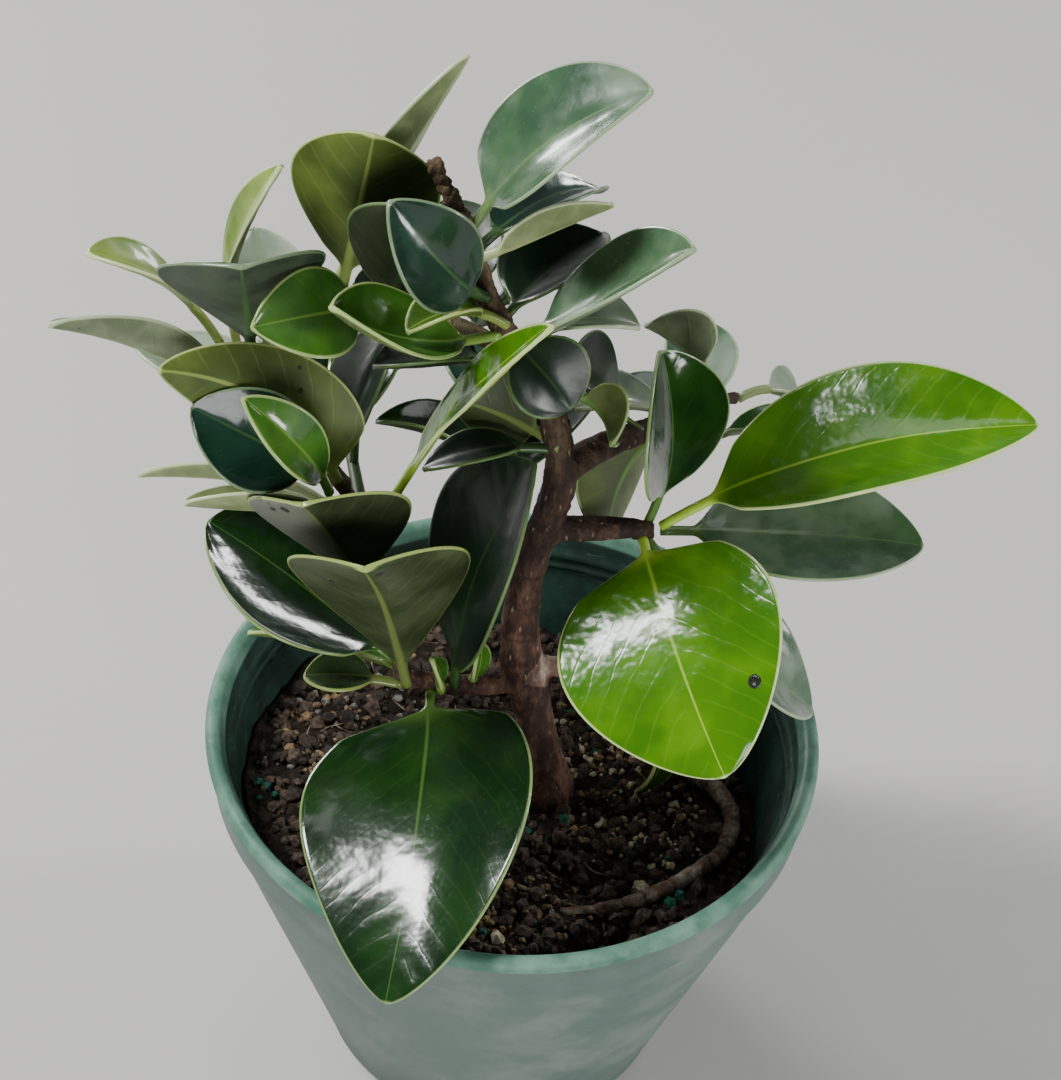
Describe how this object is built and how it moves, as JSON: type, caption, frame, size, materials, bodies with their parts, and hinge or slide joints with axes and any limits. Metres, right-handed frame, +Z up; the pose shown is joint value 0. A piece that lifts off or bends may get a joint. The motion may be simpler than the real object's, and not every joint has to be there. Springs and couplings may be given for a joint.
{
  "type": "bonsai ficus in a nursery pot",
  "caption": "Small compacta ficus bonsai with thick cupped leaves on a bent trunk, in dark gritty soil in a round tapered green plastic pot.",
  "frame": {"origin": "middle of the pot's flat underside, on the surface it stands on", "axes": "+Z up along the pot's axis; -Y is the side that faces the viewer of the picture; +X is the side with the large lime leaves"},
  "size_m": [0.1585, 0.1164, 0.2089],
  "materials": {
    "pot": "teal green, dusty satin",
    "soil": "dark damp potting mix with pale grit",
    "bark": "mottled grey and reddish brown bark",
    "leaf_mature": "glossy dark green",
    "leaf_olive": "matte olive underside",
    "leaf_lime": "glossy lime green"
  },
  "bodies": {
    "root": {"pot": "pot", "soil": "soil", "trunk_and_branches": "bark", "leaf_01_top_spear": "leaf_olive", "leaf_02_top_round": "leaf_olive", "leaf_03_left_sickle": "leaf_lime", "leaf_04_left_pale": "leaf_lime", "leaf_05_left_upright": "leaf_olive", "leaf_06_far_left": "leaf_olive", "leaf_07_left_back": "leaf_mature", "leaf_09_left_inner": "leaf_mature", "leaf_10_head_under": "leaf_mature", "leaf_11_head_gloss": "leaf_mature", "leaf_13_top_right": "leaf_mature", "leaf_14_head_back": "leaf_mature", "leaf_15_head_pale": "leaf_olive", "leaf_16_head_dark": "leaf_mature", "leaf_17_right_sheen": "leaf_mature", "leaf_18_boat": "leaf_mature", "leaf_19_boat_small": "leaf_mature", "leaf_20_boat_low": "leaf_mature", "leaf_21_lime_blade": "leaf_lime", "leaf_22_left_under": "leaf_olive", "leaf_23_left_grey": "leaf_mature", "leaf_24_left_bright": "leaf_mature", "leaf_25_left_dark": "leaf_mature", "leaf_26_low_under": "leaf_olive", "leaf_27_left_band": "leaf_olive", "leaf_28_low_gloss": "leaf_mature", "leaf_29_low_heart": "leaf_olive", "leaf_30_trunk_side": "leaf_mature", "leaf_31_front_low": "leaf_mature", "leaf_32_low_small": "leaf_olive", "leaf_33_low_lime": "leaf_lime", "leaf_34_left_sliver": "leaf_olive", "leaf_35_mid_under": "leaf_olive", "leaf_36_mid_narrow": "leaf_mature", "leaf_37_mid_olive": "leaf_olive", "leaf_38_mid_grey": "leaf_olive", "leaf_39_right_back": "leaf_olive", "leaf_40_right_upright": "leaf_mature", "leaf_41_right_olive": "leaf_olive", "leaf_42_right_lime": "leaf_lime", "leaf_43_right_dark": "leaf_mature", "leaf_44_right_grey": "leaf_olive", "leaf_45_front_lime": "leaf_lime", "leaf_46_right_low": "leaf_olive", "leaf_47_mid_dark": "leaf_mature", "leaf_48_pot_small": "leaf_olive", "leaf_49_front_dark": "leaf_mature", "bud_1": "leaf_lime", "bud_2": "leaf_lime", "spray_1_back_left": "leaf_mature", "spray_2_back_head": "leaf_mature", "spray_3_back_middle": "leaf_mature", "spray_4_back_right": "leaf_mature"}
  },
  "joints": []
}
